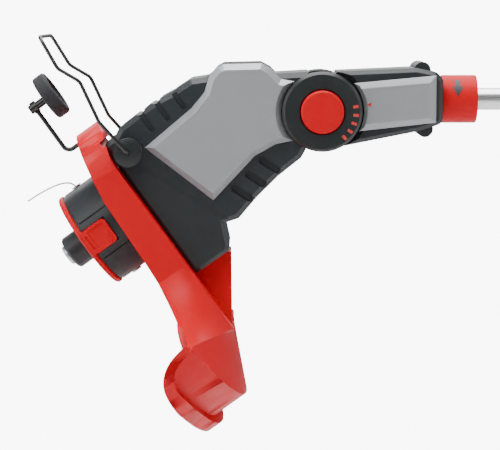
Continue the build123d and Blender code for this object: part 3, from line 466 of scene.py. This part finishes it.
def narrow_front(piece, scale):
    """Draws in the flat outer face of a cover, which widens the slopes around it."""
    large = [face for face in piece.data.polygons if face.area > LARGE_FACE]
    centre = max(large, key=lambda face: abs(face.center.y)).center.copy()
    select_faces(piece, lambda place, normal: (
        abs(place.y - centre.y) < SAME_PLANE and abs(normal.y) > 0.99))
    bpy.ops.transform.resize(value=(scale[0], 1, scale[1]), center_override=centre)
    bpy.ops.object.mode_set(mode="OBJECT")


def dished_disc(name, centre, radius, depth, rim, drop, outward, body, finish):
    """A round cap on the object's side, with a raised rim. outward is -1 on the near side."""
    deselect()
    bpy.ops.mesh.primitive_cylinder_add(
        vertices=64, radius=radius, depth=depth, location=centre, rotation=(math.pi / 2, 0, 0))
    piece = bpy.context.object
    select_faces(piece, lambda place, normal: normal.z * -outward > 0.9)
    bpy.ops.mesh.inset(thickness=rim)
    bpy.ops.mesh.extrude_region_move(TRANSFORM_OT_translate={"value": (0, -outward * drop, 0)})
    bpy.ops.object.mode_set(mode="OBJECT")
    return settle(piece, name, body, finish, rim * 0.3)


# ---- stage --------------------------------------------------------------------------------
def area_light(name, place, aim, size, power):
    bpy.ops.object.light_add(type="AREA", location=place)
    lamp = bpy.context.object
    lamp.name = name
    lamp.data.shape = "RECTANGLE"
    lamp.data.size, lamp.data.size_y = size
    lamp.data.energy = power
    lamp.rotation_euler = (Vector(aim) - Vector(place)).to_track_quat("-Z", "Y").to_euler()


CAMERA_AIM = Vector((-0.0609, 0, -0.1006))
CAMERA_PLACE = Vector((-0.0609, -1.7125, 0.0854))
CAMERA_LENS = 142.6
SENSOR_WIDTH = 36
ROOM_LIGHT = 0.2
SEEN_WHITE = 9.0

# name, place from the tilt axis, size, power
STUDIO = (
    ("top_light", (-0.15, 0.0, 1.6), (2.2, 1.6), 72),
    ("front_light", (-1.0, -1.4, 1.1), (1.3, 1.3), 15),
    ("front_fill", (1.3, -1.5, 0.2), (1.2, 1.6), 6),
    ("left_light", (-1.6, -0.1, 0.1), (1.2, 1.8), 14),
    ("right_light", (1.9, 0.2, 0.3), (1.2, 1.8), 12),
    ("back_light", (-0.3, 1.5, 0.9), (1.8, 1.2), 18),
    ("low_light", (-0.2, -0.5, -1.2), (1.8, 1.2), 18),
)


def soft_room(light, wall):
    """White room: an even soft light, and paler walls where they are seen directly."""
    room = bpy.data.worlds.new("soft_room")
    room.use_nodes = True
    tree = room.node_tree
    sky = tree.nodes["Background"]
    sky.inputs["Color"].default_value = (1, 1, 1, 1)
    seen = tree.nodes.new("ShaderNodeLightPath")
    level = tree.nodes.new("ShaderNodeMapRange")
    level.inputs["To Min"].default_value = light
    level.inputs["To Max"].default_value = wall
    tree.links.new(seen.outputs["Is Camera Ray"], level.inputs["Value"])
    tree.links.new(level.outputs["Result"], sky.inputs["Strength"])
    return room


class TRIMMER_OT_stage(bpy.types.Operator):
    """Camera, soft studio light and a pale floor"""
    bl_idname = "trimmer.stage"
    bl_label = "Stage"

    def execute(self, context):
        deselect()
        aim = TILT + CAMERA_AIM
        place = TILT + CAMERA_PLACE
        bpy.ops.object.camera_add(location=place)
        camera = bpy.context.object
        camera.rotation_euler = (aim - place).to_track_quat("-Z", "Y").to_euler()
        camera.data.sensor_width = SENSOR_WIDTH
        camera.data.lens = CAMERA_LENS
        context.scene.camera = camera
        level = CAD_LOW.z - sizes().floor_drop
        bpy.ops.mesh.primitive_plane_add(size=60, location=(0, 0, level))
        floor = bpy.context.object
        floor.name = "floor"
        pale = Finish("pale_floor", base_color=(0.85, 0.85, 0.85), roughness=0.9)
        pale.glow((1, 1, 1), SEEN_WHITE)
        floor.data.materials.append(pale.material)
        context.scene.world = soft_room(ROOM_LIGHT, SEEN_WHITE)
        for name, place, size, power in STUDIO:
            area_light(name, TILT + Vector(place), aim, size, power)
        return {"FINISHED"}


# ---- cutting line -------------------------------------------------------------------------
# along the spindle's frame, in millimetres
LINE_ROUTE = [
    (-41.5, 0, 17.2),
    (-48.5, -0.4, 16.6),
    (-53.4, -2.2, 10.6),
    (-56, -5, 3),
    (-57.6, -9, -5.5),
    (-58.6, -14.5, -13.8),
    (-59, -21, -21.5),
]
LINE_DIAMETER = 0.0016


class TRIMMER_OT_cutting_line(bpy.types.Operator):
    """The free end of the nylon cutting line"""
    bl_idname = "trimmer.cutting_line"
    bl_label = "Cutting line"

    def execute(self, context):
        curve = bpy.data.curves.new("cutting_line_end", "CURVE")
        curve.dimensions = "3D"
        spline = curve.splines.new("NURBS")
        spline.points.add(len(LINE_ROUTE) - 1)
        for point, place in zip(spline.points, LINE_ROUTE):
            point.co = (*(SPINDLE_FRAME @ (Vector(place) * MM)), 1)
        spline.order_u = 3
        spline.use_endpoint_u = True
        curve.bevel_depth = LINE_DIAMETER / 2
        curve.bevel_resolution = 4
        curve.use_fill_caps = True
        curve.resolution_u = 12
        piece = bpy.data.objects.new("cutting_line_end", curve)
        context.scene.collection.objects.link(piece)
        curve.materials.append(FINISHES["white_line"])
        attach(piece, BODY_OF["cutting_line"])
        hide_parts("cutting_line")
        return {"FINISHED"}


# ---- head ---------------------------------------------------------------------------------
FIRST_MARK = 9
MARK_PITCH = 14.5
MARK_SIZE = (4.8 * MM, 0.4 * MM, 2.5 * MM)


class TRIMMER_OT_housing(bpy.types.Operator):
    """Motor housing halves and their silver side covers"""
    bl_idname = "trimmer.housing"
    bl_label = "Motor housing"

    def execute(self, context):
        edge = sizes().edge
        for name in ("motor_housing_left", "motor_housing_right"):
            rounded(name, edge)
        for name in ("side_cover_left", "side_cover_right"):
            rounded(name, edge * 1.8, 3, 20)
        return {"FINISHED"}


class TRIMMER_OT_tilt_joint(bpy.types.Operator):
    """Pivot rings with their angle marks, and the tilt button"""
    bl_idname = "trimmer.tilt_joint"
    bl_label = "Tilt joint"

    def execute(self, context):
        edge = sizes().edge
        for name in ("pivot_ring_left", "pivot_ring_right", "tilt_button", "wire_bushes"):
            rounded(name, edge, 3)
        plain("tilt_axle", "tilt_lock_gear", "tilt_button_spring")
        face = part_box("pivot_ring_left")[0].y
        for step in range(5):
            turn = math.radians(FIRST_MARK - MARK_PITCH * step)
            spot = TILT + Vector((math.cos(turn), 0, math.sin(turn))) * sizes().mark_radius
            spot.y = face
            bar(f"angle_mark_{step + 1}", spot, MARK_SIZE, turn, "head", "mark_red",
                0.15 * MM)
        return {"FINISHED"}


class TRIMMER_OT_guard(bpy.types.Operator):
    """Red guard and its line cutter"""
    bl_idname = "trimmer.guard"
    bl_label = "Guard"

    def execute(self, context):
        rounded("guard", sizes().edge * 1.3, 2, 28, merge=0.05, even=False)
        rounded("line_cutter_blade", sizes().fine_edge)
        return {"FINISHED"}


class TRIMMER_OT_spool(bpy.types.Operator):
    """Spool drum, latch cap, bump knob and the line inside"""
    bl_idname = "trimmer.spool"
    bl_label = "Spool"

    def execute(self, context):
        edge = sizes().edge
        for name in ("spool_drum", "spool_cap", "bump_knob"):
            rounded(name, edge)
        plain("bump_insert", "line_eyelets", "line_spool", "wound_line", "bump_spring")
        return {"FINISHED"}


class TRIMMER_OT_wires(bpy.types.Operator):
    """Wire plant guard, wheel arm and edging wheel"""
    bl_idname = "trimmer.wires"
    bl_label = "Plant guard and wheel"

    def execute(self, context):
        plain("wire_guard", "wheel_arm", "wheel_axle")
        rounded("wheel_tyre", sizes().edge)
        rounded("wheel_hub", sizes().fine_edge)
        low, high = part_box("wire_bushes")
        middle = (low + high) / 2
        for name, y, outward in (("left", low.y, -1), ("right", high.y, 1)):
            place = (middle.x, y - outward * 0.4 * MM, middle.z)
            dished_disc(f"bush_rim_{name}", place, 12.2 * MM, 1.6 * MM, 1.5 * MM, -0.7 * MM,
                        outward, "head", "black_plastic")
        return {"FINISHED"}


class TRIMMER_OT_neck(bpy.types.Operator):
    """Neck halves, their silver covers and the twist collar behind them"""
    bl_idname = "trimmer.neck"
    bl_label = "Neck"

    def execute(self, context):
        edge = sizes().edge
        for name in ("neck_left", "neck_right", "lower_collar"):
            rounded(name, edge)
        for name in ("neck_cover_left", "neck_cover_right"):
            rounded(name, edge * 1.8, 3, 20, narrow=(0.95, 0.86))
        plain("lower_collet", "lower_tube")
        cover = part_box("neck_cover_left")[0].y
        spot = TILT + Vector((40.5 * MM, 0, 5.6 * MM))
        arrowhead("tilt_pointer", (spot.x, cover, spot.z), 2.4 * MM, 0.5 * MM, math.pi, "neck",
                  "mark_red")
        low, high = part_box("lower_collar")
        middle = (low + high) / 2
        near = middle + Vector((-2 * MM, low.y / 2, 0))
        tip_at = near + Vector((0, 0, 8.5 * MM))
        tail_at = near + Vector((0, 0, 14 * MM))
        tip = arrowhead("collar_arrow", tip_at, 5.6 * MM, 24 * MM, -math.pi / 2, "lower_collar",
                        "arrow_grey")
        tail = bar("collar_arrow_tail", tail_at, (4.4 * MM, 24 * MM, 6 * MM), 0, "lower_collar",
                   "arrow_grey")
        for piece in (tip, tail):
            wrap(piece, middle, -low.y)
        return {"FINISHED"}


class TRIMMER_OT_handles(bpy.types.Operator):
    """Upper tube, front loop grip and rear handle"""
    bl_idname = "trimmer.handles"
    bl_label = "Handles"

    def execute(self, context):
        edge = sizes().edge
        names = ("handle_left", "handle_right", "trigger", "lock_button", "power_gland",
                 "grip_clamp", "front_grip", "clamp_knob", "upper_collar", "tube_bush")
        for name in names:
            rounded(name, edge * 1.5, 3)
        plain("upper_tube", "trigger_spring", "lock_spring", "power_switch", "clamp_bolt")
        return {"FINISHED"}


class TRIMMER_OT_inner_works(bpy.types.Operator):
    """Motor, bearings, fan and the screws"""
    bl_idname = "trimmer.inner_works"
    bl_label = "Inner works"

    def execute(self, context):
        plain("motor_can", "field_magnets", "brush_plate", "motor_bearings", "motor_shaft",
              "armature", "cooling_fan", "guard_screws", "housing_screws", "neck_screws",
              "handle_screws")
        return {"FINISHED"}


STEPS = (
    TRIMMER_OT_stage,
    TRIMMER_OT_cutting_line,
    TRIMMER_OT_housing,
    TRIMMER_OT_tilt_joint,
    TRIMMER_OT_guard,
    TRIMMER_OT_spool,
    TRIMMER_OT_wires,
    TRIMMER_OT_neck,
    TRIMMER_OT_handles,
    TRIMMER_OT_inner_works,
)


class TRIMMER_PT_panel(bpy.types.Panel):
    """Lists the trimmer's settings and its making steps"""
    bl_label = "Grass Trimmer"
    bl_idname = "TRIMMER_PT_panel"
    bl_space_type = "VIEW_3D"
    bl_region_type = "UI"
    bl_category = "Trimmer"

    def draw(self, context):
        for group in (context.scene.trimmer_colours, context.scene.trimmer_sizes):
            for name in group.__annotations__:
                self.layout.prop(group, name)
        for step in STEPS:
            self.layout.operator(step.bl_idname)


CLASSES = (TrimmerColours, TrimmerSizes, *STEPS, TRIMMER_PT_panel)


def register():
    for item in CLASSES:
        bpy.utils.register_class(item)
    bpy.types.Scene.trimmer_colours = bpy.props.PointerProperty(type=TrimmerColours)
    bpy.types.Scene.trimmer_sizes = bpy.props.PointerProperty(type=TrimmerSizes)


def unregister():
    del bpy.types.Scene.trimmer_sizes
    del bpy.types.Scene.trimmer_colours
    for item in reversed(CLASSES):
        bpy.utils.unregister_class(item)


def main():
    register()
    make_finishes()
    for step in STEPS:
        group, action = step.bl_idname.split(".")
        getattr(getattr(bpy.ops, group), action)()


if __name__ == "__main__":
    main()
